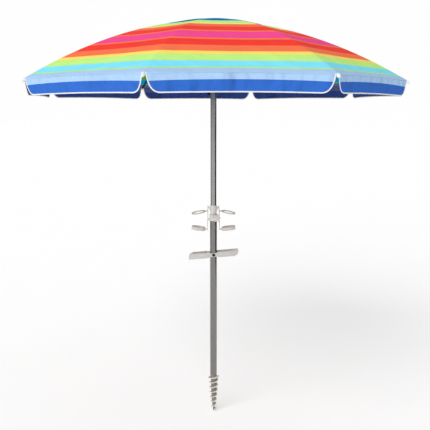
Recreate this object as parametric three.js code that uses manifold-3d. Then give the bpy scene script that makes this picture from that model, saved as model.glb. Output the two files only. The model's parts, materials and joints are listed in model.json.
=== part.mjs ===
// Beach umbrella with a sand auger, turning anchor handle, drink hooks, telescoping pole, tilt joint and
// folding eight-rib canopy. Millimetres, +Z up, front towards -Y.
// The origin is on the pole's axis at the ground line, where the auger ends and the pole starts.

import * as THREE from 'three';
import { mergeVertices } from 'three/addons/utils/BufferGeometryUtils.js';
import Module from 'manifold-3d';

const wasm = await Module();
wasm.setup();

// ---------------------------------------------------------------- driving dimensions

const RIBS = 8;
const STEP = (2 * Math.PI) / RIBS;
const FRONT = -Math.PI / 2;
const GAP = 0.3;
const SMALLEST_EDGE = 0.02;

const CANOPY_R = 965;
const EAVE_Z = 1636;
const CANOPY_RISE_LINEAR = 0.048;
const CANOPY_RISE_SQUARE = 0.276;
const CANOPY_HOLE_R = 60;
const CLOTH = 1.2;
const VALANCE_DROP = 72;
const NOTCH_HALF = 60;
const NOTCH_TOP_HALF = 9;
const CAP_R = 250;
const CAP_LIFT = 3;
const CAP_HOLE_R = 24;

const PIVOT_R = 25;
const RIB_DROP = 7.4;
const RIB_WIDTH = 5;
const RIB_HEIGHT = 7;
const TAB_WIDTH = 4;
const STRETCHER_REACH = 424;
const STRETCHER_WIDTH = 4;
const STRETCHER_HEIGHT = 6;
const PIN_R = 1.5;
const EYE_R = 4.2;
const INSET = 0.15;

const UPPER_R = 16;
const UPPER_BORE_R = 14.3;
const LOWER_R = 19;
const LOWER_BORE_R = 17.3;
const LOWER_TOP_Z = 911;
const UPPER_BOTTOM_Z = 870;
const TILT_Z = 1610;
const TILT_GAP = 16;

const AUGER_LENGTH = 228;
const AUGER_PITCH = 29.8;
const AUGER_CORE_R = 15.5;
const AUGER_TOP_FLIGHT_R = 34.5;
const AUGER_FLIGHT_R = 25.5;
const AUGER_TIP_FLIGHT_R = 15;

const FITTINGS_TURN = 17;
const BOLT_Z = 711.5;
const HANDLE_REST = 4.5;
const HANDLE_HALF = 139;
const HANDLE_TALL = 31;
const CHEEK_Y = 19.6;
const CHEEK_THICK = 2.4;

const COLLAR_BOTTOM_Z = 901;
const COLLAR_TOP_Z = 935;
const COLLAR_R = 22;
const KNOB_Z = 921;
const KNOB_TURN = 40;
const SLEEVE_TOP_Z = 986;
const HOOK_TOP_Z = 980;
const HOOK_BOTTOM_Z = 849;
const POST_TOP_X = 28;
const POST_BOTTOM_X = 31.2;
const POST_THICK = 4;
const HOOK_START_X = 45.5;
const HOOK_LENGTH = 75;
const HOOK_WIDTH = 52;
const RING_Z = 953;
const DISH_Z = 852;
const DISH_DEPTH = 19;
const DISH_RECESS = 8;

// ---------------------------------------------------------------- materials

function paint(color, roughness, metalness) {
  return new THREE.MeshStandardMaterial({ color, roughness, metalness });
}

const steel = () => paint(0x8f9295, 0.25, 0.9);
const blackSteel = () => paint(0x1c1d1f, 0.45, 0.6);
const palePlastic = () => paint(0xcfd2d6, 0.45, 0.0);
const beigePlastic = () => paint(0xc9c6bd, 0.5, 0.0);
const blackPlastic = () => paint(0x202124, 0.5, 0.0);
const blueCloth = () => paint(0x2f63b8, 0.85, 0.0);
const pinkCloth = () => paint(0xee5a7a, 0.85, 0.0);
const capCloth = () => paint(0x1b78b4, 0.85, 0.0);

// ---------------------------------------------------------------- solid helpers

function solidOf(geometry) {
  const plain = new THREE.BufferGeometry();
  plain.setAttribute('position', geometry.getAttribute('position'));
  if (geometry.index) plain.setIndex(geometry.index);
  const welded = mergeVertices(plain, 1e-4);
  const corners = welded.index.array;
  const faces = [];
  for (let i = 0; i < corners.length; i += 3) {
    const [a, b, c] = [corners[i], corners[i + 1], corners[i + 2]];
    if (a !== b && b !== c && c !== a) faces.push(a, b, c);
  }
  return new wasm.Manifold(new wasm.Mesh({
    numProp: 3,
    vertProperties: Float32Array.from(welded.getAttribute('position').array),
    triVerts: Uint32Array.from(faces),
  }));
}

function geometryOf(solid) {
  const mesh = solid.getMesh();
  const geometry = new THREE.BufferGeometry();
  geometry.setAttribute('position', new THREE.BufferAttribute(mesh.vertProperties, 3));
  geometry.setIndex(new THREE.BufferAttribute(mesh.triVerts, 1));
  const flat = geometry.toNonIndexed();
  flat.computeVertexNormals();
  return flat;
}

function join(...solids) {
  return solids.reduce((sum, solid) => sum.add(solid));
}

function cut(solid, ...tools) {
  return tools.reduce((rest, tool) => rest.subtract(tool), solid);
}

function box(x0, x1, y0, y1, z0, z1) {
  const geometry = new THREE.BoxGeometry(x1 - x0, y1 - y0, z1 - z0);
  return solidOf(geometry.translate((x0 + x1) / 2, (y0 + y1) / 2, (z0 + z1) / 2));
}

// A solid of revolution about Z from points (radius, height); the outline starts and ends on the axis.
function turned(outline, segments = 32) {
  const points = outline.map(([r, z]) => new THREE.Vector2(r, z));
  return solidOf(new THREE.LatheGeometry(points, segments).rotateX(Math.PI / 2));
}

function rod(radius, z0, z1, segments = 32) {
  return turned([[0, z0], [radius, z0], [radius, z1], [0, z1]], segments);
}

function tube(radius, bore, z0, z1, segments = 32) {
  return cut(rod(radius, z0, z1, segments), rod(bore, z0 - 1, z1 + 1, segments));
}

// A rod along Y through (x, z).
function crossRod(radius, y0, y1, x = 0, z = 0, segments = 32) {
  return rod(radius, y0, y1, segments).rotate([-90, 0, 0]).translate([x, 0, z]);
}

// A flat outline in the XZ plane given thickness from y0 to y1.
function plate(shape, y0, y1) {
  const geometry = new THREE.ExtrudeGeometry(shape, { depth: y1 - y0, bevelEnabled: false, curveSegments: 12 });
  return solidOf(geometry.rotateX(Math.PI / 2).translate(0, y1, 0));
}

function outline(points) {
  return new THREE.Shape(points.map(([x, z]) => new THREE.Vector2(x, z)));
}

// Joins a row of equal rings of corners into one closed solid with flat ends.
function loft(rings) {
  const count = rings[0].length;
  const positions = rings.flat().flatMap((point) => [point.x, point.y, point.z]);
  const faces = [];
  for (let i = 0; i + 1 < rings.length; i += 1) {
    for (let j = 0; j < count; j += 1) {
      const next = (j + 1) % count;
      const [a, b] = [i * count + j, i * count + next];
      const [c, d] = [a + count, b + count];
      faces.push(a, b, d, a, d, c);
    }
  }
  const last = (rings.length - 1) * count;
  for (let j = 1; j + 1 < count; j += 1) {
    faces.push(0, j + 1, j, last, last + j, last + j + 1);
  }
  const geometry = new THREE.BufferGeometry();
  geometry.setAttribute('position', new THREE.Float32BufferAttribute(positions, 3));
  geometry.setIndex(faces);
  const solid = solidOf(geometry);
  if (solid.volume() > 0) return solid;
  geometry.setIndex(faces.reverse());
  return solidOf(geometry);
}

function steps(count, from, to) {
  return Array.from({ length: count + 1 }, (_, i) => from + ((to - from) * i) / count);
}

const umbrella = new THREE.Group();

function add(name, solid, material, turn = 0) {
  const mesh = new THREE.Mesh(geometryOf(solid.simplify(SMALLEST_EDGE)), material);
  mesh.name = name;
  mesh.rotation.z = turn;
  umbrella.add(mesh);
}

// ---------------------------------------------------------------- canopy curves

// Height of the cloth's outer face over a rib at radius r.
function clothZ(r) {
  const t = r / CANOPY_R;
  const rise = CANOPY_RISE_LINEAR + CANOPY_RISE_SQUARE;
  return EAVE_Z + CANOPY_R * (rise - CANOPY_RISE_LINEAR * t - CANOPY_RISE_SQUARE * t * t);
}

function ribZ(r) {
  return clothZ(r) - RIB_DROP;
}

function capZ(r) {
  return clothZ(r) + CAP_LIFT;
}

const CROWN_Z = ribZ(PIVOT_R);
const JOINT_R = PIVOT_R + STRETCHER_REACH;
const JOINT_Z = ribZ(JOINT_R);
const RUNNER_Z = 2 * JOINT_Z - CROWN_Z;

// ---------------------------------------------------------------- anchor

function sandAuger() {
  const spigot = rod(LOWER_BORE_R - GAP, -1, 40);
  const core = turned([[0, -AUGER_LENGTH], [2.5, -AUGER_LENGTH + 6], [AUGER_CORE_R * 0.75, -150],
    [AUGER_CORE_R, -40], [AUGER_CORE_R + 3, -GAP], [0, -GAP]], 40);
  const turns = 7.2;
  const rings = steps(Math.round(turns * 24), 0, turns).map((turn) => {
    const down = turn / turns;
    const wide = THREE.MathUtils.lerp(AUGER_TOP_FLIGHT_R, AUGER_FLIGHT_R, Math.min(1, turn / 1.1));
    const edge = THREE.MathUtils.lerp(wide, AUGER_TIP_FLIGHT_R, Math.max(0, (down - 0.3) / 0.7));
    const root = THREE.MathUtils.lerp(AUGER_CORE_R * 0.75, 3, down);
    const z = -7 - turn * AUGER_PITCH;
    const angle = -turn * 2 * Math.PI;
    const at = (r, dz) => new THREE.Vector3(r * Math.cos(angle), r * Math.sin(angle), z + dz);
    return [at(root, -2.6), at(edge, -1.1), at(edge, 1.1), at(root, 2.6)];
  });
  return join(spigot, core, loft(rings));
}

// Half of the handle's outline, from the hub out to the slanted, rounded end of the right blade.
function bladeOutline() {
  const tall = HANDLE_TALL / 2;
  const hub = 11;
  return [
    [18, hub], [27, tall], [HANDLE_HALF, tall], [HANDLE_HALF - 2, tall - 11], [HANDLE_HALF - 9, -tall + 7],
    [HANDLE_HALF - 24, -tall], [27, -tall], [18, -hub],
  ];
}

function anchorHandle() {
  const tall = HANDLE_TALL / 2;
  const right = bladeOutline();
  const left = right.map(([x, z]) => [-x, -z]);
  const cheek = outline([...right, ...left]);
  const rear = plate(cheek, CHEEK_Y, CHEEK_Y + CHEEK_THICK);
  const front = plate(cheek, -CHEEK_Y - CHEEK_THICK, -CHEEK_Y);
  const wall = CHEEK_Y + CHEEK_THICK;
  const leftWeb = box(-HANDLE_HALF + 26, -44, -wall, wall, tall - 2, tall);
  const rightWeb = box(44, HANDLE_HALF - 26, -wall, wall, -tall, -tall + 2);
  const hole = crossRod(4 + GAP, -60, 60);
  return cut(join(rear, front, leftWeb, rightWeb), hole)
    .rotate([0, -HANDLE_REST, 0])
    .translate([0, 0, BOLT_Z])
    .rotate([0, 0, FITTINGS_TURN]);
}

function handleBolt() {
  const face = CHEEK_Y + CHEEK_THICK + GAP;
  return join(
    crossRod(4, -face - 1, face + 1, 0, BOLT_Z),
    crossRod(8, -face - 5, -face, 0, BOLT_Z),
    crossRod(7, face, face + 6, 0, BOLT_Z, 6),
  ).rotate([0, 0, FITTINGS_TURN]);
}

add('sand_auger', sandAuger(), beigePlastic());
add('anchor_handle', anchorHandle(), palePlastic());
add('handle_bolt', handleBolt(), blackSteel());

// ---------------------------------------------------------------- poles and telescope lock

const boltHole = crossRod(4 + GAP, -60, 60, 0, BOLT_Z).rotate([0, 0, FITTINGS_TURN]);
add('lower_pole', cut(tube(LOWER_R, LOWER_BORE_R, 0, LOWER_TOP_Z), boltHole), steel());
add('upper_pole', tube(UPPER_R, UPPER_BORE_R, UPPER_BOTTOM_Z, TILT_Z - TILT_GAP), steel());

const TILT_BUTTON_Z = TILT_Z + 62;
const topPole = tube(UPPER_R, UPPER_BORE_R, TILT_Z + TILT_GAP, CROWN_Z + 8);
add('top_pole', cut(topPole, crossRod(4 + GAP, -30, 0, 0, TILT_BUTTON_Z)), steel());

function lockCollar() {
  const shell = rod(COLLAR_R, COLLAR_BOTTOM_Z, COLLAR_TOP_Z);
  const lugs = box(-29.2, 29.2, -6, 6, COLLAR_BOTTOM_Z, COLLAR_BOTTOM_Z + 10).rotate([0, 0, FITTINGS_TURN]);
  const boss = crossRod(9, -33, -18, 0, KNOB_Z).rotate([0, 0, KNOB_TURN]);
  return cut(
    join(shell, lugs, boss),
    rod(LOWER_R + GAP, COLLAR_BOTTOM_Z - 1, LOWER_TOP_Z + GAP),
    rod(UPPER_R + 0.4, COLLAR_BOTTOM_Z - 1, COLLAR_TOP_Z + 1),
    crossRod(3 + GAP, -60, 0, 0, KNOB_Z).rotate([0, 0, KNOB_TURN]),
  );
}

function lockKnob() {
  const disc = crossRod(17.5, -47, -33 - GAP, 0, KNOB_Z);
  const screw = crossRod(3, -40, -UPPER_R - 0.7, 0, KNOB_Z);
  const lobes = steps(5, 0, (5 / 6) * 2 * Math.PI).map((angle) => (
    crossRod(5.5, -47, -33 - GAP, 15 * Math.cos(angle), KNOB_Z + 15 * Math.sin(angle), 20)
  ));
  return join(disc, screw, ...lobes).rotate([0, 0, KNOB_TURN]);
}

add('lock_collar', lockCollar(), palePlastic());
add('lock_knob', lockKnob(), palePlastic());

// ---------------------------------------------------------------- drink hooks

function hookSleeve() {
  const sleeve = rod(18, COLLAR_TOP_Z + GAP, SLEEVE_TOP_Z);
  const reach = POST_TOP_X - GAP;
  const brace = plate(outline([
    [14, HOOK_TOP_Z - 24], [18, HOOK_TOP_Z - 24], [reach, HOOK_TOP_Z - 9], [reach, HOOK_TOP_Z],
    [reach - 3, HOOK_TOP_Z], [14, HOOK_TOP_Z - 12],
  ]), -5, 5).rotate([0, 0, FITTINGS_TURN]);
  const bore = rod(UPPER_R + 0.4, COLLAR_TOP_Z - 1, SLEEVE_TOP_Z + 1);
  return cut(join(sleeve, brace, brace.rotate([0, 0, 180])), bore);
}

// An oval loop in the local XY plane, from x = 0 outwards.
function ovalLoop(length, width, wire) {
  const outer = new THREE.Shape().absellipse(length / 2, 0, length / 2, width / 2, 0, 2 * Math.PI);
  const inner = new THREE.Path().absellipse(length / 2, 0, length / 2 - wire, width / 2 - wire, 0, 2 * Math.PI);
  outer.holes.push(inner);
  const depth = 6;
  const geometry = new THREE.ExtrudeGeometry(outer, { depth, bevelEnabled: false, curveSegments: 16 });
  return solidOf(geometry.translate(0, 0, -depth / 2));
}

// An oval dish with a raised rim and a skirt, in the local XY plane from x = 0 outwards.
function ovalDish(length, width) {
  const oval = (inset, z, height) => {
    const middle = length / 2;
    const shape = new THREE.Shape().absellipse(middle, 0, middle - inset, width / 2 - inset, 0, 2 * Math.PI);
    const settings = { depth: height, bevelEnabled: false, curveSegments: 16 };
    return solidOf(new THREE.ExtrudeGeometry(shape, settings).translate(0, 0, z));
  };
  const skirt = DISH_DEPTH - DISH_RECESS - 3;
  const bottom = -skirt;
  return cut(oval(0, bottom, DISH_DEPTH), oval(3.5, bottom - 1, skirt + 1), oval(3.5, 3, DISH_RECESS + 1));
}

function hookFrame(side) {
  const post = plate(outline([
    [POST_TOP_X, HOOK_TOP_Z], [POST_TOP_X + POST_THICK, HOOK_TOP_Z],
    [POST_BOTTOM_X + POST_THICK, HOOK_BOTTOM_Z], [POST_BOTTOM_X, HOOK_BOTTOM_Z],
  ]), -6, 6);
  const upperNeck = box(POST_TOP_X + 2, HOOK_START_X + 4, -4, 4, RING_Z - 3, RING_Z + 3);
  const lowerNeck = box(POST_BOTTOM_X + 1, HOOK_START_X + 2, -4, 4, DISH_Z - 3, DISH_Z + 3);
  const ring = ovalLoop(HOOK_LENGTH, HOOK_WIDTH, 6).rotate([6.5 * side, 11, 0]);
  const dish = ovalDish(HOOK_LENGTH, HOOK_WIDTH).rotate([0, -7, 0]);
  const frame = join(
    post, upperNeck, lowerNeck,
    ring.translate([HOOK_START_X, 0, RING_Z]), dish.translate([HOOK_START_X, 0, DISH_Z]),
  );
  return frame.rotate([0, 0, FITTINGS_TURN + (side > 0 ? 0 : 180)]);
}

add('hook_sleeve', hookSleeve(), palePlastic());
add('hook_frame_left', hookFrame(-1), palePlastic());
add('hook_frame_right', hookFrame(1), palePlastic());

// ---------------------------------------------------------------- tilt joint

// A rod along X through the tilt axis.
function tiltRod(radius, x0, x1, segments = 32) {
  return rod(radius, x0, x1, segments).rotate([0, 90, 0]).translate([0, 0, TILT_Z]);
}

function tiltFork() {
  const plug = rod(UPPER_BORE_R - GAP, TILT_Z - 50, TILT_Z - 14);
  const cheeks = [-13, 7].map((x) => join(box(x, x + 6, -11, 11, TILT_Z - 15, TILT_Z), tiltRod(11, x, x + 6)));
  const trim = rod(15.5, TILT_Z - 60, TILT_Z + 20);
  return cut(join(plug, ...cheeks).intersect(trim), tiltRod(2.5 + GAP, -30, 30));
}

function tiltTongue() {
  const plug = rod(UPPER_BORE_R - GAP, TILT_Z + 14, TILT_Z + 50);
  const blade = join(box(-6.5, 6.5, -11, 11, TILT_Z, TILT_Z + 15), tiltRod(11, -6.5, 6.5));
  return cut(join(plug, blade), tiltRod(2.5 + GAP, -30, 30));
}

add('tilt_fork', tiltFork(), blackPlastic());
add('tilt_tongue', tiltTongue(), blackPlastic());
add('tilt_pin', tiltRod(2.5, -14, 14), steel());
add('tilt_button', crossRod(4, -UPPER_R - 0.7, -8, 0, TILT_BUTTON_Z), blackPlastic());

// ---------------------------------------------------------------- crown, runner, ribs and stretchers

// A ring with one slot and one cross pin for each rib, about the height z.
function slottedRing(radius, z, half, pinned) {
  let ring = rod(radius, z - half, z + half, 40);
  for (let k = 0; k < RIBS; k += 1) {
    const turn = THREE.MathUtils.radToDeg(FRONT + k * STEP);
    const slot = box(20.2, radius + 5, -2.5, 2.5, z - half - 1, z + half + 1);
    ring = ring.subtract(slot.rotate([0, 0, turn]));
    if (pinned) ring = ring.add(crossRod(PIN_R, -3, 3, PIVOT_R, z, 12).rotate([0, 0, turn]));
  }
  return ring;
}

// The runner's catch looks out between the first two stretchers.
const CATCH_Z = RUNNER_Z - 25;
const CATCH_TURN = THREE.MathUtils.radToDeg(STEP / 2);

function runner() {
  const sleeve = rod(20.4, RUNNER_Z - 40, RUNNER_Z - 6);
  const boss = crossRod(5.6, -27, -15, 0, CATCH_Z).rotate([0, 0, CATCH_TURN]);
  return cut(
    join(slottedRing(33, RUNNER_Z, 7, false), sleeve, boss),
    rod(UPPER_R + 1.2, RUNNER_Z - 50, RUNNER_Z + 20),
    crossRod(4 + GAP, -40, -18.4, 0, CATCH_Z).rotate([0, 0, CATCH_TURN]),
  );
}

function finial() {
  return turned([[0, CROWN_Z - 20], [13.5, CROWN_Z - 20], [13.5, CROWN_Z + 8 + GAP], [20, CROWN_Z + 8 + GAP],
    [20, CROWN_Z + 12], [14, CROWN_Z + 17], [9, CROWN_Z + 18.5], [0, CROWN_Z + 18.5]]);
}

const hub = slottedRing(33, CROWN_Z, 8, true);
add('crown_hub', cut(hub, rod(UPPER_R + GAP, CROWN_Z - 20, CROWN_Z + 20)), blackPlastic());
add('finial', finial(), blackPlastic());
add('runner', runner(), blackPlastic());
add('runner_catch', crossRod(4, -30, -20, 0, CATCH_Z).rotate([0, 0, CATCH_TURN]), blackPlastic());

// A bar following heightAt(r) in the XZ plane, as wide as widthAt(r).
function curvedBar(radii, heightAt, width, height) {
  return loft(radii.map((r) => {
    const slope = Math.atan((heightAt(r + 1) - heightAt(r - 1)) / 2);
    const up = new THREE.Vector3(-Math.sin(slope), 0, Math.cos(slope)).multiplyScalar(height / 2);
    const out = new THREE.Vector3(0, width / 2, 0);
    const centre = new THREE.Vector3(r, 0, heightAt(r));
    return [
      centre.clone().add(up).add(out), centre.clone().add(up).sub(out),
      centre.clone().sub(up).sub(out), centre.clone().sub(up).add(out),
    ];
  }));
}

function rib() {
  const tab = curvedBar(steps(2, PIVOT_R, 46), ribZ, TAB_WIDTH, RIB_HEIGHT);
  const eye = crossRod(EYE_R, -TAB_WIDTH / 2, TAB_WIDTH / 2, PIVOT_R, CROWN_Z, 20);
  const bar = curvedBar(steps(20, 40, CANOPY_R - 12), ribZ, RIB_WIDTH, RIB_HEIGHT);
  const tip = curvedBar(steps(1, CANOPY_R - 15, CANOPY_R - 1), ribZ, 7, RIB_HEIGHT);
  return cut(
    join(tab, eye, bar, tip),
    crossRod(PIN_R + GAP, -9, 9, PIVOT_R, CROWN_Z, 12),
    crossRod(PIN_R + GAP, -9, 9, JOINT_R, JOINT_Z, 12),
  );
}

function stretcher() {
  const slope = (JOINT_Z - RUNNER_Z) / STRETCHER_REACH;
  const straight = (r) => JOINT_Z + (r - JOINT_R) * slope;
  const bar = curvedBar([PIVOT_R, JOINT_R - 22], straight, STRETCHER_WIDTH, STRETCHER_HEIGHT);
  const foot = crossRod(EYE_R, -STRETCHER_WIDTH / 2 + INSET, STRETCHER_WIDTH / 2 - INSET, PIVOT_R, RUNNER_Z, 20);
  const bridge = curvedBar([JOINT_R - 30, JOINT_R - 21], straight, 9.6, STRETCHER_HEIGHT + 1);
  const inner = RIB_WIDTH / 2 + GAP;
  const cheeks = [-1, 1].map((side) => {
    const middle = side * (inner + 0.9);
    const eye = crossRod(4, middle - 0.9, middle + 0.9, JOINT_R, JOINT_Z, 20);
    const arm = curvedBar([JOINT_R - 24, JOINT_R], straight, 1.8 - 2 * INSET, STRETCHER_HEIGHT - 1);
    return join(eye, arm.translate([0, middle, 0]));
  });
  const pin = crossRod(PIN_R, -4, 4, JOINT_R, JOINT_Z, 12);
  return join(bar, foot, bridge, pin, ...cheeks);
}

// ---------------------------------------------------------------- canopy cloth

// One gore between two ribs, with straight threads from rib to rib, in a frame whose X runs out along its middle.
function gore(radii, heightAt, thickness) {
  const half = STEP / 2;
  return loft(radii.map((r) => {
    const x = r * Math.cos(half);
    const y = r * Math.sin(half) - 0.4;
    const z = heightAt(r);
    return [
      new THREE.Vector3(x, -y, z), new THREE.Vector3(x, y, z),
      new THREE.Vector3(x, y, z - thickness), new THREE.Vector3(x, -y, z - thickness),
    ];
  }));
}

function valance() {
  const x = CANOPY_R * Math.cos(STEP / 2);
  const side = CANOPY_R * Math.sin(STEP / 2);
  const top = EAVE_Z - CLOTH - GAP;
  const hem = EAVE_Z - VALANCE_DROP;
  const right = new THREE.CubicBezierCurve(
    new THREE.Vector2(side - NOTCH_HALF, hem),
    new THREE.Vector2(side - 0.5 * NOTCH_HALF, hem + 2),
    new THREE.Vector2(side - NOTCH_TOP_HALF - 8, hem + 0.35 * VALANCE_DROP),
    new THREE.Vector2(side - NOTCH_TOP_HALF, top),
  ).getPoints(10);
  const left = right.map((point) => new THREE.Vector2(-point.x, point.y)).reverse();
  const solid = plate(new THREE.Shape([...right, ...left]), 0, CLOTH);
  return solid.rotate([0, 0, -90]).translate([x - CLOTH, 0, 0]);
}

const ribSolid = rib();
const stretcherSolid = stretcher();
const goreSolid = gore(steps(14, CANOPY_HOLE_R, CANOPY_R), clothZ, CLOTH);
const valanceSolid = valance();
const capSolid = gore(steps(4, CAP_HOLE_R, CAP_R), capZ, CLOTH);

for (let k = 0; k < RIBS; k += 1) {
  const turn = FRONT + k * STEP;
  add(`rib_${k + 1}`, ribSolid, blackSteel(), turn);
  add(`stretcher_${k + 1}`, stretcherSolid, blackSteel(), turn);
  add(`canopy_gore_${k + 1}`, goreSolid, pinkCloth(), turn + STEP / 2);
  add(`valance_${k + 1}`, valanceSolid, blueCloth(), turn + STEP / 2);
  add(`vent_cap_${k + 1}`, capSolid, capCloth(), turn + STEP / 2);
}

const strap = box(0, CLOTH, -8, 8, EAVE_Z - 66, EAVE_Z - 8);
const strapX = CANOPY_R * Math.cos(STEP / 2) - 2 * CLOTH - 1;
add('closure_strap', strap.translate([strapX, -78, 0]), blackPlastic(), FRONT + 4.5 * STEP);

export default umbrella;
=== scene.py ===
"""Beach umbrella with a striped eight-gore canopy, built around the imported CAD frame.

Metres, +Z up, front -Y.
"""

import json
import math

import bmesh
import bpy
import numpy as np
from mathutils import Matrix, Vector, noise

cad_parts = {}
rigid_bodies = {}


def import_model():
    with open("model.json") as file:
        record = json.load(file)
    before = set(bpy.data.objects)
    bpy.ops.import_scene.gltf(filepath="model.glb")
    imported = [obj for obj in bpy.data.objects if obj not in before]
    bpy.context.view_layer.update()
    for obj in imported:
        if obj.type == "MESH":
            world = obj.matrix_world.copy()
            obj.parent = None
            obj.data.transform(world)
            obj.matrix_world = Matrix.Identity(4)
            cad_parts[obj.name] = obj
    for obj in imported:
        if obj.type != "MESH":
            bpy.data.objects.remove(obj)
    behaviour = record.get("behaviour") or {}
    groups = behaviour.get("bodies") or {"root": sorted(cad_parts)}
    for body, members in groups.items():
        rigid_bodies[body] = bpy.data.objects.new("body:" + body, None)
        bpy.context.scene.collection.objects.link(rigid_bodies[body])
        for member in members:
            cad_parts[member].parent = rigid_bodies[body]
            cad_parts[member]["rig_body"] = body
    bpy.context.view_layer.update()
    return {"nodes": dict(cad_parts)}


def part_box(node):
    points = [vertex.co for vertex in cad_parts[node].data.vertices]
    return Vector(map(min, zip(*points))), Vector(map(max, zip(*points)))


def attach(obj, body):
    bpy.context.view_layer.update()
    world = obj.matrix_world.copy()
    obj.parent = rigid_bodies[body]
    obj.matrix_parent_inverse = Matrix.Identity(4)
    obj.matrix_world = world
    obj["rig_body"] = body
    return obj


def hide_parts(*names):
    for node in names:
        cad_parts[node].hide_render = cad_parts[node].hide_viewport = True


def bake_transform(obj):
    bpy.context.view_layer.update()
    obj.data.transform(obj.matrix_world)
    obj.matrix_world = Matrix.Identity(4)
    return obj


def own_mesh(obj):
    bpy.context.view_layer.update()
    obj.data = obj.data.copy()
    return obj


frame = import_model()

GORES = 8
STEP = 2 * math.pi / GORES
FRONT = -math.pi / 2


# ------------------------------------------------------------------ sizes read from the frame

def node_points(node):
    return np.array([v.co for v in frame["nodes"][node].data.vertices])


def outer_profile(node, degree):
    """Height of a cloth node's outer face as a function of radius, from the node's own corners."""
    points = node_points(node)
    radius = np.hypot(points[:, 0], points[:, 1])
    rings = {}
    for r, z in zip(radius, points[:, 2]):
        key = round(float(r), 3)
        rings[key] = max(z, rings.get(key, z))
    radii = np.array(sorted(rings))
    return np.polynomial.Polynomial.fit(radii, [rings[r] for r in radii], degree), radii


canopy_z, canopy_radii = outer_profile("canopy_gore_1", 2)
cap_z, cap_radii = outer_profile("vent_cap_1", 3)
RIM = float(canopy_radii[-1])
HOLE = float(canopy_radii[0])
EAVE = float(canopy_z(RIM))
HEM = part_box("valance_1")[0].z
CHORD_X = RIM * math.cos(STEP / 2)
SIDE_PER_R = math.sin(STEP / 2)
DROP = EAVE - HEM
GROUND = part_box("sand_auger")[0].z


def gore_turn(k):
    """Turn about Z that brings a gore's own frame, X outwards along its middle, to gore k + 1."""
    return FRONT + (k + 0.5) * STEP


def rib_turn(k):
    return FRONT + k * STEP


# ------------------------------------------------------------------ small mesh helpers

def make_object(name, vertices, faces, smooth=True):
    mesh = bpy.data.meshes.new(name)
    mesh.from_pydata([tuple(v) for v in vertices], [], faces)
    mesh.update()
    mesh.polygons.foreach_set("use_smooth", [smooth] * len(mesh.polygons))
    obj = bpy.data.objects.new(name, mesh)
    bpy.context.scene.collection.objects.link(obj)
    return obj


def apply_modifiers(obj):
    """Replaces the object's mesh by the result of its modifiers."""
    bpy.context.view_layer.update()
    evaluated = obj.evaluated_get(bpy.context.evaluated_depsgraph_get())
    mesh = bpy.data.meshes.new_from_object(evaluated)
    obj.modifiers.clear()
    obj.data = mesh
    return obj


def turned(obj, angle):
    obj.data.transform(Matrix.Rotation(angle, 4, "Z"))
    return obj


def bevelled(obj, width, segments):
    bevel = obj.modifiers.new("edges", "BEVEL")
    bevel.width = width
    bevel.segments = segments
    bevel.limit_method = "ANGLE"
    bevel.angle_limit = math.radians(30)
    return apply_modifiers(obj)


def shade_by_angle(obj, degrees=35):
    """Smooth faces, with edges sharper than the angle kept crisp."""
    mesh = obj.data
    mesh.polygons.foreach_set("use_smooth", [True] * len(mesh.polygons))
    mesh.set_sharp_from_angle(angle=math.radians(degrees))
    return obj


UP_AND_OUT = np.array([0.3, 0, 1.0])


def grid_sheet(name, outer, thickness, uv):
    """A closed thin sheet from a grid of points on its outer face.

    Slot 0 is the outer face, slot 1 the inner one.
    """
    rows, columns = outer.shape[:2]
    along = np.gradient(outer, axis=0)
    across = np.gradient(outer, axis=1)
    normal = np.cross(across, along)
    normal /= np.maximum(np.linalg.norm(normal, axis=2, keepdims=True), 1e-12)
    if normal[rows // 2, columns // 2] @ UP_AND_OUT < 0:
        normal = -normal
    inner = outer - thickness * normal
    count = rows * columns
    vertices = np.concatenate([outer.reshape(-1, 3), inner.reshape(-1, 3)])
    faces = []
    materials = []

    def quad(a, b, c, d, slot):
        faces.append((a, b, c, d))
        materials.append(slot)

    for i in range(rows - 1):
        for j in range(columns - 1):
            a = i * columns + j
            quad(a, a + 1, a + columns + 1, a + columns, 0)
            b = a + count
            quad(b, b + columns, b + columns + 1, b + 1, 1)
    rim = [(j, j + 1) for j in range(columns - 1)]
    rim += [(i * columns + columns - 1, (i + 1) * columns + columns - 1) for i in range(rows - 1)]
    rim += [((rows - 1) * columns + j + 1, (rows - 1) * columns + j) for j in reversed(range(columns - 1))]
    rim += [((i + 1) * columns, i * columns) for i in reversed(range(rows - 1))]
    for a, b in rim:
        quad(b, a, a + count, b + count, 1)
    obj = make_object(name, vertices, faces)
    layer = obj.data.uv_layers.new(name="Cloth")
    both = np.concatenate([uv.reshape(-1, 2)] * 2)
    loops = np.zeros(len(obj.data.loops), int)
    obj.data.loops.foreach_get("vertex_index", loops)
    layer.data.foreach_set("uv", both[loops].ravel())
    # faces point outwards, whichever way the grid was laid
    if obj.data.polygons[0].normal @ Vector(normal[0, 0]) < 0:
        obj.data.flip_normals()
    obj.data.polygons.foreach_set("material_index", materials)
    return shade_by_angle(obj, 50)


def recalc(obj):
    """Points the faces of a closed mesh outwards."""
    bm = bmesh.new()
    bm.from_mesh(obj.data)
    bmesh.ops.recalc_face_normals(bm, faces=bm.faces)
    bm.to_mesh(obj.data)
    bm.free()
    return obj


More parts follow.
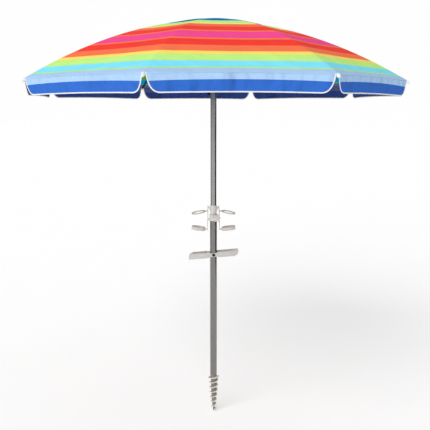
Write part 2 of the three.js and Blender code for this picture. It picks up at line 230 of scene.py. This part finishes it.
def lathe(name, profile, segments):
    """A solid of revolution from (radius, height) points.

    A profile that starts off the axis closes on itself.
    """
    vertices = []
    faces = []
    n = len(profile)
    hollow = profile[0][0] > 0
    for i in range(segments):
        angle = 2 * math.pi * i / segments
        vertices += [(r * math.cos(angle), r * math.sin(angle), z) for r, z in profile]
    for i in range(segments):
        j = (i + 1) % segments
        for k in range(n if hollow else n - 1):
            m = (k + 1) % n
            faces.append((i * n + k, j * n + k, j * n + m, i * n + m))
    obj = make_object(name, vertices, faces)
    bm = bmesh.new()
    bm.from_mesh(obj.data)
    bmesh.ops.remove_doubles(bm, verts=bm.verts, dist=1e-6)
    bmesh.ops.dissolve_degenerate(bm, dist=1e-7, edges=bm.edges)
    bmesh.ops.recalc_face_normals(bm, faces=bm.faces)
    bm.to_mesh(obj.data)
    bm.free()
    return shade_by_angle(obj)


# ------------------------------------------------------------------ materials

def linear(red, green, blue):
    """A screen colour, 0 to 255, as the linear colour that Blender mixes."""
    def channel(value):
        value /= 255
        return value / 12.92 if value <= 0.04045 else ((value + 0.055) / 1.055) ** 2.4
    return (channel(red), channel(green), channel(blue), 1.0)


class Surface:
    """A material and short ways to add its nodes."""

    def __init__(self, name, roughness, metallic=0.0):
        self.material = bpy.data.materials.new(name)
        self.material.use_nodes = True
        self.tree = self.material.node_tree
        self.shader = self.tree.nodes["Principled BSDF"]
        self.shader.inputs["Roughness"].default_value = roughness
        self.shader.inputs["Metallic"].default_value = metallic

    def node(self, kind, **settings):
        made = self.tree.nodes.new(kind)
        for key, value in settings.items():
            setattr(made, key, value)
        return made

    def link(self, source, target):
        self.tree.links.new(source, target)

    def noise(self, scale, detail=4.0, vector=None, stretch=None):
        made = self.node("ShaderNodeTexNoise")
        made.inputs["Scale"].default_value = scale
        made.inputs["Detail"].default_value = detail
        source = vector or self.node("ShaderNodeTexCoord").outputs["Object"]
        if stretch:
            mapping = self.node("ShaderNodeMapping")
            mapping.inputs["Scale"].default_value = stretch
            self.link(source, mapping.inputs["Vector"])
            source = mapping.outputs["Vector"]
        self.link(source, made.inputs["Vector"])
        return made.outputs["Fac"]

    def ramp(self, factor, stops, interpolation="LINEAR"):
        made = self.node("ShaderNodeValToRGB")
        made.color_ramp.interpolation = interpolation
        elements = made.color_ramp.elements
        while len(elements) < len(stops):
            elements.new(1.0)
        for element, (position, color) in zip(elements, stops):
            element.position = position
            element.color = color
        self.link(factor, made.inputs["Fac"])
        return made.outputs["Color"]

    def math(self, operation, a, b=None):
        made = self.node("ShaderNodeMath", operation=operation)
        for socket, value in zip(made.inputs, (a, b)):
            if value is None:
                continue
            if isinstance(value, (int, float)):
                socket.default_value = value
            else:
                self.link(value, socket)
        return made.outputs[0]

    def mix(self, factor, a, b, blend="MIX"):
        made = self.node("ShaderNodeMix", data_type="RGBA", blend_type=blend)
        for socket, value in ((made.inputs[0], factor), (made.inputs[6], a), (made.inputs[7], b)):
            if isinstance(value, (int, float, tuple)):
                socket.default_value = value
            else:
                self.link(value, socket)
        return made.outputs[2]

    def bump(self, height, strength, distance, over=None):
        made = self.node("ShaderNodeBump")
        made.inputs["Strength"].default_value = strength
        made.inputs["Distance"].default_value = distance
        self.link(height, made.inputs["Height"])
        if over:
            self.link(over, made.inputs["Normal"])
        self.link(made.outputs["Normal"], self.shader.inputs["Normal"])
        return made.outputs["Normal"]

    def spread(self, factor, low, high, socket="Roughness"):
        made = self.node("ShaderNodeMapRange")
        made.inputs["To Min"].default_value = low
        made.inputs["To Max"].default_value = high
        self.link(factor, made.inputs["Value"])
        self.link(made.outputs[0], self.shader.inputs[socket])


STRETCHED_SLACK = 0.2
THREAD_SCALE = 900


def cloth_finish(surface, color, uv, slack=STRETCHED_SLACK):
    """Plain weave, faint soiling, sheen and soft wrinkles over the colour.

    The wrinkles are deeper where the cloth hangs slack.
    """
    threads = []
    for axis in ("X", "Y"):
        wave = surface.node("ShaderNodeTexWave", wave_type="BANDS", bands_direction=axis)
        wave.inputs["Scale"].default_value = THREAD_SCALE
        surface.link(uv, wave.inputs["Vector"])
        threads.append(wave.outputs["Fac"])
    weave = surface.math("ADD", threads[0], threads[1])
    soft = surface.noise(14.0, 5.0)
    fine = surface.noise(160.0, 3.0)
    shade = surface.ramp(soft, [(0.3, (0.95, 0.95, 0.95, 1)), (0.7, (1, 1, 1, 1))])
    tinted = surface.mix(1.0, color, shade, "MULTIPLY")
    surface.link(tinted, surface.shader.inputs["Base Color"])
    broad = surface.noise(7.0, 2.0, stretch=(1, 1, 0.4))
    creases = surface.noise(15.0, 1.5, stretch=(1, 1, 0.7))
    folds = surface.math("ADD", broad, surface.math("MULTIPLY", creases, 0.5))
    wrinkled = surface.bump(surface.math("MULTIPLY", folds, slack), 1.0, 0.05)
    height = surface.math("ADD", surface.math("MULTIPLY", weave, 0.35), fine)
    surface.bump(height, 0.25, 0.0004, over=wrinkled)
    surface.spread(fine, 0.66, 0.86)
    surface.shader.inputs["Sheen Weight"].default_value = 0.01
    surface.shader.inputs["Sheen Roughness"].default_value = 0.45
    surface.shader.inputs["Specular IOR Level"].default_value = 0.04


# Stripes from the hem up to the crown: the width in metres along the cloth, the colour seen from above,
# and the colour underneath, where the print shows through, darkened with painted shade.
STRIPES = [
    (0.0439, (53, 109, 203), (54, 78, 150)),
    (0.0615, (172, 206, 243), (94, 106, 160)),
    (0.0110, (192, 238, 80), (116, 178, 42)),
    (0.0531, (132, 232, 255), (0, 154, 198)),
    (0.0535, (196, 248, 138), (96, 160, 44)),
    (0.0323, (255, 228, 108), (176, 140, 30)),
    (0.0607, (255, 122, 80), (170, 70, 40)),
    (0.0690, (253, 64, 52), (160, 34, 30)),
    (0.0205, (255, 128, 76), (170, 70, 40)),
    (0.0965, (252, 76, 152), (160, 36, 90)),
    (0.0160, (255, 130, 76), (170, 70, 40)),
    (0.0710, (253, 68, 56), (160, 34, 30)),
    (0.0560, (255, 116, 84), (170, 70, 40)),
    (0.0300, (255, 236, 120), (176, 140, 30)),
    (0.0860, (198, 248, 140), (96, 160, 44)),
    (0.0580, (80, 200, 236), (0, 140, 180)),
    (0.3000, (20, 116, 186), (10, 70, 120)),
]
CLOTH_LENGTH = sum(stripe[0] for stripe in STRIPES)


def striped_cloth(name, side):
    surface = Surface(name, 0.8)
    uv = surface.node("ShaderNodeUVMap", uv_map="Cloth").outputs["UV"]
    split = surface.node("ShaderNodeSeparateXYZ")
    surface.link(uv, split.inputs[0])
    stops = []
    start = 0.0
    for stripe in STRIPES:
        stops.append((start / CLOTH_LENGTH, linear(*stripe[side])))
        start += stripe[0]
    up_the_cloth = surface.math("DIVIDE", split.outputs["Y"], CLOTH_LENGTH)
    color = surface.ramp(up_the_cloth, stops, "CONSTANT")
    hanging = surface.math("LESS_THAN", split.outputs["Y"], DROP)
    extra = surface.math("MULTIPLY", hanging, 1 - STRETCHED_SLACK)
    cloth_finish(surface, color, uv, surface.math("ADD", extra, STRETCHED_SLACK))
    return surface.material


def plain_cloth(name, color):
    surface = Surface(name, 0.8)
    uv = surface.node("ShaderNodeTexCoord").outputs["Object"]
    base = surface.node("ShaderNodeRGB")
    base.outputs[0].default_value = linear(*color)
    cloth_finish(surface, base.outputs[0], uv)
    return surface.material


PLASTIC_GRAIN = 0.15


def moulded_plastic(name, color, roughness=0.42):
    surface = Surface(name, roughness)
    mottle = surface.noise(30.0, 5.0)
    fine = surface.noise(900.0, 2.0)
    dark = tuple(0.93 * c for c in linear(*color)[:3]) + (1,)
    shade = surface.ramp(mottle, [(0.35, dark), (0.7, linear(*color))])
    surface.link(shade, surface.shader.inputs["Base Color"])
    surface.spread(fine, roughness - 0.06, roughness + 0.10)
    surface.bump(fine, PLASTIC_GRAIN, 0.0002)
    return surface.material


def auger_plastic():
    """Pale plastic, darker at the roots between the threads with painted shade."""
    surface = Surface("auger_plastic", 0.5)
    crest = surface.node("ShaderNodeAttribute", attribute_name="crest").outputs["Fac"]
    painted_root_shade = surface.math("ADD", crest, surface.math("MULTIPLY", surface.noise(120.0, 4.0), 0.3))
    # painted shade: darker at the thread roots, lighter at the crests, with a little noise
    stops = [(0.15, linear(122, 114, 106)), (0.45, linear(172, 166, 158)), (0.80, linear(220, 217, 206))]
    surface.link(surface.ramp(painted_root_shade, stops), surface.shader.inputs["Base Color"])
    fine = surface.noise(900.0, 2.0)
    surface.spread(fine, 0.44, 0.62)
    surface.bump(fine, PLASTIC_GRAIN, 0.0002)
    return surface.material


def coated_metal(name, color, roughness, metallic):
    """Drawn tube or wire: fine lines along Z, slight mottling and small scuffs."""
    surface = Surface(name, roughness, metallic)
    lines = surface.noise(24.0, 6.0, stretch=(40, 40, 1))
    scuffs = surface.noise(60.0, 8.0)
    light = linear(*color)
    dark = tuple(0.80 * c for c in light[:3]) + (1,)
    surface.link(surface.ramp(lines, [(0.35, dark), (0.65, light)]), surface.shader.inputs["Base Color"])
    wear = surface.math("ADD", surface.math("MULTIPLY", scuffs, 0.6), surface.math("MULTIPLY", lines, 0.4))
    surface.spread(wear, roughness - 0.07, roughness + 0.12)
    surface.bump(lines, 0.05, 0.0002)
    return surface.material


CLOTH_TOP = striped_cloth("canopy_cloth_top", 1)
# painted shade: the underside copy of the stripes is darker than the top, standing in for the shade under the
# canopy
CLOTH_UNDER_PAINTED_SHADE = striped_cloth("canopy_cloth_under_painted_shade", 2)
CAP_TOP = plain_cloth("cap_cloth_top", (24, 130, 198))
# painted shade: the cap's underside is a darker copy of its top colour, standing in for the shade beneath it
CAP_UNDER_PAINTED_SHADE = plain_cloth("cap_cloth_under_painted_shade", (10, 62, 110))
BINDING = plain_cloth("white_binding", (236, 236, 238))
WEBBING = plain_cloth("black_webbing", (26, 28, 40))
WHITE_PLASTIC = moulded_plastic("white_plastic", (240, 240, 240))
PALE_PLASTIC = moulded_plastic("pale_plastic", (224, 220, 216))
HOOK_PLASTIC = moulded_plastic("hook_plastic", (212, 207, 202))
HANDLE_PLASTIC = moulded_plastic("handle_plastic", (202, 200, 196))
AUGER_PLASTIC = auger_plastic()
BLACK_PLASTIC = moulded_plastic("black_plastic", (30, 31, 34), 0.45)
UPPER_METAL = coated_metal("upper_pole_metal", (168, 168, 167), 0.17, 1.0)
LOWER_METAL = coated_metal("lower_pole_metal", (140, 138, 137), 0.17, 1.0)
BLACK_STEEL = coated_metal("black_steel", (28, 29, 31), 0.4, 0.5)
BOLT_STEEL = coated_metal("bolt_steel", (34, 36, 42), 0.35, 0.7)


def dress(obj, *materials):
    if obj.data.materials:
        obj.data.materials.clear()
    for material in materials:
        obj.data.materials.append(material)
    return obj


# ------------------------------------------------------------------ canopy

CLOTH_THICKNESS = 0.0007
STRIPE_SAG = 0.009
STRIPE_SAG_FADE = 0.15
# relief of a gore
GORE_SAG = 0.0035
GORE_RIPPLE = 0.0011
PUCKER_HEIGHT = 0.0016
PUCKER_REACH = 0.09
PUCKER_FOLDS = 26
# the gore lies still this close to the eave, where it is sewn to the valance
SEWN_EDGE = 0.03
# relief of a valance flap
SLOW_FOLD = 0.0055
QUICK_FOLD = 0.0036
HEM_TUCK = 0.004
HEM_ARCH = 0.0035
STRAP_FLAT_HALF = 0.025
# relief of the vent cap, and how far it stands off the canopy at its inner and outer edges
CAP_BULGE = 0.0035
CAP_RIPPLE = 0.0008
CAP_INNER_LIFT = 0.0030
CAP_OUTER_LIFT = 0.0010


def cloth_v(distance, across):
    """Distance up the cloth that a stripe is read at. Stripes dip towards the ribs near the hem."""
    return distance + STRIPE_SAG * across ** 2 * np.exp(-distance / STRIPE_SAG_FADE)


# crown panels, from the hub outwards under the vent cap
CROWN_INNER_R = 0.0225
CROWN_PANEL_R = 0.092
CROWN_WIDEST_HALF = 0.026
CROWN_LAP = 0.18
CROWN_THICKNESS = 0.0006
CROWN_HUB_LIFT = 0.0021
CROWN_TUCK = 0.0040
CROWN_STAGGER = 0.0004
# seam tapes: half-widths along a rib, and how far they hang below the gores' outer face
TAPE_THICKNESS = 0.0005
TAPE_BELOW = 0.0013
TAPE_RADII = (0.135, 0.18, 0.22, 0.45, 0.65, 0.95)
TAPE_HALVES = (0.026, 0.032, 0.032, 0.022, 0.010, 0.006)
TAPE_END = RIM - 0.02
# distances along the middle of a gore
RADII = np.linspace(0.02, RIM, 200)
STEPS = np.hypot(np.diff(RADII) * math.cos(STEP / 2), np.diff(canopy_z(RADII)))
FROM_EAVE = np.concatenate([np.cumsum(STEPS[::-1])[::-1], [0.0]])


def from_eave(r):
    """Distance along the middle of a gore from the eave up to radius r."""
    return float(np.interp(r, RADII, FROM_EAVE))


def gore_sheet(k):
    """A gore: it sags between its ribs, ripples a little and puckers in fans at its two tips."""
    rows, columns = 90, 41
    radii = np.linspace(HOLE, RIM, rows)
    across = np.linspace(-1, 1, columns)
    points = np.zeros((rows, columns, 3))
    uv = np.zeros((rows, columns, 2))
    for i, r in enumerate(radii):
        z = float(canopy_z(r))
        distance = from_eave(r)
        half = r * SIDE_PER_R
        slope = math.atan(float(canopy_z.deriv()(r)) / math.cos(STEP / 2))
        out = np.array([-math.sin(slope), 0, math.cos(slope)])
        for j, t in enumerate(across):
            side = t * half
            sag = -GORE_SAG * (1 - t * t) * math.sin(math.pi * min(1.0, r / RIM) ** 1.5)
            tip = math.hypot(RIM - r, half - abs(side))
            fan = math.sin(PUCKER_FOLDS * math.atan2(RIM - r, half - abs(side) + 1e-6))
            pucker = PUCKER_HEIGHT * math.exp(-(tip / PUCKER_REACH) ** 2) * fan
            pucker *= min(1.0, tip / 0.02)
            ripple = GORE_RIPPLE * noise.noise(Vector((side * 9, r * 3, k * 7.3)))
            ripple *= min(1.0, (1 - abs(t)) * 6)
            edge = min(1.0, distance / SEWN_EDGE)
            lift = (sag + pucker + ripple) * edge
            points[i, j] = np.array([r * math.cos(STEP / 2), side, z]) + lift * out
            uv[i, j] = (side, cloth_v(DROP + distance, t))
    sheet = grid_sheet(f"gore_cloth_{k + 1}", points, CLOTH_THICKNESS, uv)
    dress(sheet, CLOTH_TOP, CLOTH_UNDER_PAINTED_SHADE)
    return turned(sheet, gore_turn(k))


def notch_shape():
    """Half-width of the valance against height, read off the CAD valance's outline, hem to eave."""
    points = node_points("valance_1")
    turn = Matrix.Rotation(-gore_turn(0), 3, "Z")
    flat = np.array([turn @ Vector(p) for p in points])
    heights = np.array(sorted(set(np.round(flat[:, 2], 4))))
    widths = np.array([np.abs(flat[np.abs(flat[:, 2] - z) < 2e-4, 1]).max() for z in heights])
    return heights, widths


NOTCH_Z, NOTCH_W = notch_shape()
STRAP_GORE = 4


def strap_side():
    """How far the strap's middle lies sideways from the middle of its gore."""
    low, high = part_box("closure_strap")
    return (Matrix.Rotation(-gore_turn(STRAP_GORE), 3, "Z") @ ((low + high) / 2)).y


STRAP_SIDE = strap_side()


def flap_wave(side, height, k):
    """How far the valance stands off its plane.

    Small folds open towards the hem. The flap is flat behind the strap.
    """
    depth = np.clip((EAVE - height) / DROP, 0, 1)
    slow = noise.noise(Vector((side * 5.5, 3.1 * k, 0.0)))
    quick = noise.noise(Vector((side * 22.0, 9.7 * k, height * 9.0)))
    free = 1 - math.exp(-((side - STRAP_SIDE) / STRAP_FLAT_HALF) ** 2) if k == STRAP_GORE else 1
    return free * depth ** 1.3 * (SLOW_FOLD * slow + QUICK_FOLD * quick) - HEM_TUCK * depth


def valance_sheet(k):
    """A valance flap, and the points along its notches and hem in the gore's own frame."""
    rows, columns = 22, 90
    # rows close up towards the hem, where the notches flare
    heights = HEM + DROP * np.linspace(1, 0, rows) ** 1.8
    across = np.linspace(-1, 1, columns)
    points = np.zeros((rows, columns, 3))
    uv = np.zeros((rows, columns, 2))
    for i, z in enumerate(heights):
        half = float(np.interp(z, NOTCH_Z, NOTCH_W))
        for j, t in enumerate(across):
            side = t * half
            arch = HEM_ARCH * (1 - (side / NOTCH_W[0]) ** 2) * (EAVE - z) / DROP
            points[i, j] = (CHORD_X + flap_wave(side, z, k), side, z + arch)
            uv[i, j] = (side, cloth_v(z - HEM, side / (RIM * SIDE_PER_R)))
    sheet = grid_sheet(f"valance_cloth_{k + 1}", points, CLOTH_THICKNESS, uv)
    dress(sheet, CLOTH_TOP, CLOTH_UNDER_PAINTED_SHADE)
    turned(sheet, gore_turn(k))
    edge = [points[i, 0] for i in range(rows)] + [points[-1, j] for j in range(1, columns)]
    edge += [points[i, -1] for i in reversed(range(rows - 1))]
    return sheet, edge


def hem_binding(k, edge):
    """Folded white binding over the hem and both notch edges."""
    half_thick, half_wide = 0.0012, 0.0027
    angles = np.linspace(0, 2 * math.pi, 13)[:-1]
    section = [(half_thick * math.cos(a), half_wide * math.sin(a)) for a in angles]
    path = [Vector(p) + Vector((-CLOTH_THICKNESS / 2, 0, 0)) for p in edge]
    vertices = []
    n = len(section)
    for i, point in enumerate(path):
        tangent = (path[min(i + 1, len(path) - 1)] - path[max(i - 1, 0)]).normalized()
        outward = Vector((1, 0, 0))
        inplane = tangent.cross(outward).normalized()
        outward = inplane.cross(tangent).normalized()
        vertices += [point + outward * s + inplane * u for s, u in section]
    faces = []
    for i in range(len(path) - 1):
        for j in range(n):
            a, b = i * n + j, i * n + (j + 1) % n
            faces.append((a, b, b + n, a + n))
    faces.append(tuple(range(n - 1, -1, -1)))
    faces.append(tuple((len(path) - 1) * n + j for j in range(n)))
    obj = recalc(make_object(f"hem_binding_{k + 1}", vertices, faces))
    dress(obj, BINDING)
    return turned(obj, gore_turn(k))


def cap_sheet(k):
    """The cap lies on the canopy along the ribs and stands up a little between them."""
    rows, columns = 26, 33
    radii = np.linspace(cap_radii[0], cap_radii[-1], rows)
    across = np.linspace(-1, 1, columns)
    points = np.zeros((rows, columns, 3))
    uv = np.zeros((rows, columns, 2))
    for i, r in enumerate(radii):
        share = (r - radii[0]) / (radii[-1] - radii[0])
        for j, t in enumerate(across):
            side = t * r * SIDE_PER_R
            bulge = CAP_BULGE * (1 - t ** 2) * math.sin(math.pi * share ** 1.6)
            ripple = CAP_RIPPLE * share * (1 - share) * (1 - t ** 4)
            ripple *= noise.noise(Vector((side * 18, r * 6, 2.7 * k)))
            lift = CAP_INNER_LIFT + (CAP_OUTER_LIFT - CAP_INNER_LIFT) * share
            points[i, j] = (r * math.cos(STEP / 2), side, float(canopy_z(r)) + lift + bulge + ripple)
            uv[i, j] = (side, r)
    sheet = grid_sheet(f"cap_cloth_{k + 1}", points, CLOTH_THICKNESS, uv)
    dress(sheet, CAP_TOP, CAP_UNDER_PAINTED_SHADE)
    return turned(sheet, gore_turn(k))


def crown_half(r):
    """Half-width of a crown panel: it laps its neighbours near the hub and stops short of the ribs' tapes."""
    share = (r - CROWN_INNER_R) / (CROWN_PANEL_R - CROWN_INNER_R)
    lap = 1 + CROWN_LAP * math.sin(math.pi * share)
    return min(r * SIDE_PER_R * lap, CROWN_WIDEST_HALF)


def crown_panel(k):
    """The cloth that joins a gore to the crown under the vent cap."""
    rows, columns = 30, 9
    radii = np.linspace(CROWN_INNER_R, CROWN_PANEL_R, rows)
    across = np.linspace(-1, 1, columns)
    points = np.zeros((rows, columns, 3))
    uv = np.zeros((rows, columns, 2))
    # every other panel lies a little higher, so that neighbours lap without touching
    stagger = CROWN_STAGGER if k % 2 else -CROWN_STAGGER
    for i, r in enumerate(radii):
        share = (r - radii[0]) / (radii[-1] - radii[0])
        lift = CROWN_HUB_LIFT - CROWN_TUCK * min(1.0, 2.5 * share) + stagger
        for j, t in enumerate(across):
            side = t * crown_half(r)
            points[i, j] = (r * math.cos(STEP / 2), side, float(canopy_z(r)) + lift)
            uv[i, j] = (side, DROP + from_eave(r))
    sheet = grid_sheet(f"crown_panel_{k + 1}", points, CROWN_THICKNESS, uv)
    dress(sheet, CLOTH_TOP, CLOTH_UNDER_PAINTED_SHADE)
    return turned(sheet, gore_turn(k))


def rib_tape(k):
    """Seam tape between the gores and a rib, wide near the crown, with the gores' own stripes."""
    rows, columns = 60, 9
    radii = np.linspace(TAPE_RADII[0], TAPE_END, rows)
    points = np.zeros((rows, columns, 3))
    uv = np.zeros((rows, columns, 2))
    for i, r in enumerate(radii):
        half = float(np.interp(r, TAPE_RADII, TAPE_HALVES))
        for j, t in enumerate(np.linspace(-1, 1, columns)):
            # the gores fall away on both sides of the rib
            gore_r = r + abs(t * half) * math.tan(STEP / 2)
            points[i, j] = (r, t * half, float(canopy_z(gore_r)) - TAPE_BELOW)
            uv[i, j] = (t * half, DROP + from_eave(gore_r))
    sheet = grid_sheet(f"rib_tape_{k + 1}", points, TAPE_THICKNESS, uv)
    dress(sheet, CLOTH_TOP, CLOTH_UNDER_PAINTED_SHADE)
    return turned(sheet, rib_turn(k))


def gather(obj):
    """Gives the cloth its own copy of its mesh."""
    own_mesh(obj)


def add_gore(k):
    i = k + 1
    gore = gore_sheet(k)
    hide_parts(f"canopy_gore_{i}")
    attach(gore, f"gore_{i}")
    gather(gore)
    return gore


def add_valance(k):
    i = k + 1
    flap, edge = valance_sheet(k)
    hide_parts(f"valance_{i}")
    binding = hem_binding(k, edge)
    for piece in (flap, binding):
        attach(piece, f"valance_flap_{i}")
        gather(piece)


def add_cap(k):
    i = k + 1
    cap = cap_sheet(k)
    length = float(math.hypot((cap_radii[-1] - cap_radii[0]) * math.cos(STEP / 2),
                              cap_z(cap_radii[0]) - cap_z(cap_radii[-1])))
    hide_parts(f"vent_cap_{i}")
    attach(cap, f"gore_{i}")
    gather(cap)


def add_crown(k):
    crown = crown_panel(k)
    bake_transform(crown)


def canopy():
    for k in range(GORES):
        gore = add_gore(k)
        add_valance(k)
        add_cap(k)
        add_crown(k)


TIP_PROFILE = [(0, -0.0085), (0.0040, -0.0078), (0.0062, -0.0050), (0.0068, 0.0), (0.0062, 0.0060),
               (0.0040, 0.0100), (0, 0.0112)]


def add_tip_cap(k):
    """A white cap along the rib's end, a little drooped."""
    cap = lathe(f"rib_tip_{k + 1}", TIP_PROFILE, 32)
    slope = math.atan(float(canopy_z.deriv()(RIM)))
    cap.data.transform(Matrix.Rotation(math.pi / 2 - slope, 4, "Y"))
    cap.data.transform(Matrix.Diagonal((1, 1, 1.25, 1)))
    cap.data.transform(Matrix.Translation((RIM + 0.0010, 0, EAVE - 0.0070)))
    turned(cap, rib_turn(k))
    dress(cap, WHITE_PLASTIC)
    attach(cap, f"rib_arm_{k + 1}")


def add_tape(k):
    tape = rib_tape(k)
    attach(tape, f"rib_arm_{k + 1}")


def rib_details():
    for k in range(GORES):
        add_tip_cap(k)
        add_tape(k)


# ------------------------------------------------------------------ frame metal, hooks, handle and auger

TUBE_WALL = 0.0016
TUBE_EDGE = 0.0004


def tube(node, material):
    """A tube with softened edges in place of a pole, as wide and long as the pole's own box."""
    box_low, box_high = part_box(node)
    outer, low, high = box_high.x, box_low.z, box_high.z
    profile = [(outer - TUBE_WALL, low), (outer - TUBE_EDGE, low), (outer, low + TUBE_EDGE),
               (outer, high - TUBE_EDGE), (outer - TUBE_EDGE, high), (outer - TUBE_WALL, high)]
    obj = lathe(f"{node}_tube", profile, 96)
    dress(obj, material)
    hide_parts(node)
    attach(obj, frame["nodes"][node]["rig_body"])


def poles():
    tube("lower_pole", LOWER_METAL)
    tube("upper_pole", UPPER_METAL)
    tube("top_pole", UPPER_METAL)


def refine(node, name, width, segments=2, material=PALE_PLASTIC):
    """A copy of a CAD node's shape with moulded, rounded edges."""
    source = frame["nodes"][node]
    mesh = source.data.copy()
    obj = bpy.data.objects.new(name, mesh)
    bpy.context.scene.collection.objects.link(obj)
    bm = bmesh.new()
    bm.from_mesh(mesh)
    bmesh.ops.remove_doubles(bm, verts=bm.verts, dist=1e-5)
    bmesh.ops.dissolve_limit(bm, angle_limit=math.radians(1.0), verts=bm.verts, edges=bm.edges)
    bm.to_mesh(mesh)
    bm.free()
    bevelled(obj, width, segments)
    shade_by_angle(obj, 40)
    dress(obj, material)
    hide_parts(node)
    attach(obj, source["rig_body"])
    return obj


MOULDED_EDGE = 0.0012
CREST_REACH = 0.007


def mark_crests(auger):
    """Stores on each vertex how far out it lies between the core and the thread's edge at its height."""
    points = np.array([v.co for v in auger.data.vertices])
    radii = np.hypot(points[:, 0], points[:, 1])
    crest = np.zeros(len(points))
    for i, (r, z) in enumerate(zip(radii, points[:, 2])):
        near = radii[np.abs(points[:, 2] - z) < CREST_REACH]
        crest[i] = (r - near.min()) / max(near.max() - near.min(), 1e-5)
    auger.data.attributes.new("crest", "FLOAT", "POINT").data.foreach_set("value", crest)


def fittings():
    for node in ("lock_collar", "hook_sleeve", "lock_knob"):
        refine(node, f"{node}_moulding", MOULDED_EDGE)
    for node in ("hook_frame_left", "hook_frame_right"):
        refine(node, f"{node}_moulding", MOULDED_EDGE, material=HOOK_PLASTIC)
    refine("anchor_handle", "anchor_handle_moulding", 0.0008, material=HANDLE_PLASTIC)
    mark_crests(refine("sand_auger", "sand_auger_moulding", 0.0005, 1, AUGER_PLASTIC))
    refine("handle_bolt", "handle_bolt_head", 0.0008, 2, BOLT_STEEL)
    strap = refine("closure_strap", "closure_strap_webbing", 0.0003, 1, WEBBING)


def carried_nodes():
    """Better finishes for the CAD nodes that stay."""
    for node in ("crown_hub", "finial", "runner", "runner_catch", "tilt_fork", "tilt_tongue", "tilt_button"):
        dress(frame["nodes"][node], BLACK_PLASTIC)
    dress(frame["nodes"]["tilt_pin"], BOLT_STEEL)
    for k in range(GORES):
        dress(frame["nodes"][f"rib_{k + 1}"], BLACK_STEEL)
        dress(frame["nodes"][f"stretcher_{k + 1}"], BLACK_STEEL)


# ------------------------------------------------------------------ camera, light and floor

CAMERA_TURN = math.radians(15.43)
CAMERA_DISTANCE = 3.2191 * RIM
CAMERA_HEIGHT = GROUND + 1.8018 * RIM
CAMERA_PITCH = 0.1845
CAMERA_RIGHT = Vector((math.cos(CAMERA_TURN), math.sin(CAMERA_TURN), 0))
CAMERA_AWAY = Vector((-math.sin(CAMERA_TURN), math.cos(CAMERA_TURN), 0))
FLOOR_HALF = 55
SURROUND_RADIUS = 79


def camera():
    data = bpy.data.cameras.new("camera")
    data.sensor_width = 36.0
    data.lens = 48.45
    data.shift_x = 0.0035
    data.clip_end = 400
    obj = bpy.data.objects.new("camera", data)
    bpy.context.scene.collection.objects.link(obj)
    obj.location = (CAMERA_DISTANCE * math.sin(CAMERA_TURN), -CAMERA_DISTANCE * math.cos(CAMERA_TURN),
                    CAMERA_HEIGHT)
    obj.rotation_euler = (math.pi / 2 - CAMERA_PITCH, 0, CAMERA_TURN)
    bpy.context.scene.camera = obj


def upright(name, start, end, top):
    """A plain upright wall between two (right, away) points, as the camera sees them."""
    corners = [(*start, GROUND), (*end, GROUND), (*end, top), (*start, top)]
    points = [CAMERA_RIGHT * x + CAMERA_AWAY * y + Vector((0, 0, z)) for x, y, z in corners]
    return make_object(name, points, [(0, 1, 2, 3)], smooth=False)


def mottled(surface, scale, dark, light, socket="Base Color"):
    """A faint grey mottle, and no highlight."""
    stops = [(0.0, (dark, dark, dark, 1)), (1.0, (light, light, light, 1))]
    surface.link(surface.ramp(surface.noise(scale), stops), surface.shader.inputs[socket])
    surface.shader.inputs["Specular IOR Level"].default_value = 0.0


def floor_sheet():
    a = FLOOR_HALF
    floor = make_object("floor", [(-a, -a, GROUND), (a, -a, GROUND), (a, a, GROUND), (-a, a, GROUND)],
                        [(0, 1, 2, 3)], smooth=False)
    paper = Surface("floor_paper", 0.9)
    mottled(paper, 3.0, 0.93, 0.96)
    paper.shader.inputs["Emission Color"].default_value = (1, 1, 1, 1)
    paper.shader.inputs["Emission Strength"].default_value = 0.23
    dress(floor, paper.material)
    return floor


def black_flags():
    """Black flags beside the set, which draw the dark edges of the pole's reflections."""
    flags = [upright("right_flag", (2.6, -1.6), (4.2, 3.4), 1.5),
             upright("left_flag", (-3.6, 0.2), (-4.3, 3.4), 1.5)]
    velvet = Surface("black_velvet", 0.95)
    mottled(velvet, 8.0, 0.010, 0.016)
    for flag in flags:
        dress(flag, velvet.material)
        flag.visible_camera = False
        flag.visible_diffuse = False
        flag.visible_shadow = False
    return flags


def white_surround():
    """A white surround that only the camera sees, so that it doesn't flatten the light on the cloth."""
    bpy.ops.mesh.primitive_uv_sphere_add(segments=64, ring_count=32, radius=SURROUND_RADIUS)
    surround = bpy.context.object
    surround.name = "surround"
    paper = Surface("surround_paper", 1.0)
    mottled(paper, 0.05, 0.985, 1, "Emission Color")
    paper.shader.inputs["Emission Strength"].default_value = 1.0
    paper.shader.inputs["Base Color"].default_value = (0, 0, 0, 1)
    dress(surround, paper.material)
    surround.visible_diffuse = False
    surround.visible_glossy = False
    surround.visible_transmission = False
    surround.visible_shadow = False
    return surround


def studio():
    floor = floor_sheet()
    flags = black_flags()
    surround = white_surround()
    world = bpy.data.worlds.new("studio")
    world.use_nodes = True
    background = world.node_tree.nodes["Background"]
    background.inputs["Color"].default_value = (1, 1, 1, 1)
    background.inputs["Strength"].default_value = 0.48
    bpy.context.scene.world = world
    key = bpy.data.lights.new("key", "SUN")
    key.energy = 1.88
    key.angle = math.radians(50)
    key_light = bpy.data.objects.new("key", key)
    bpy.context.scene.collection.objects.link(key_light)
    towards = CAMERA_RIGHT * -0.45 - CAMERA_AWAY * 0.7 + Vector((0, 0, 0.55))
    key_light.rotation_euler = towards.to_track_quat("Z", "Y").to_euler()
    bpy.context.scene.view_settings.view_transform = "Standard"


camera()
studio()
canopy()
rib_details()
poles()
fittings()
carried_nodes()
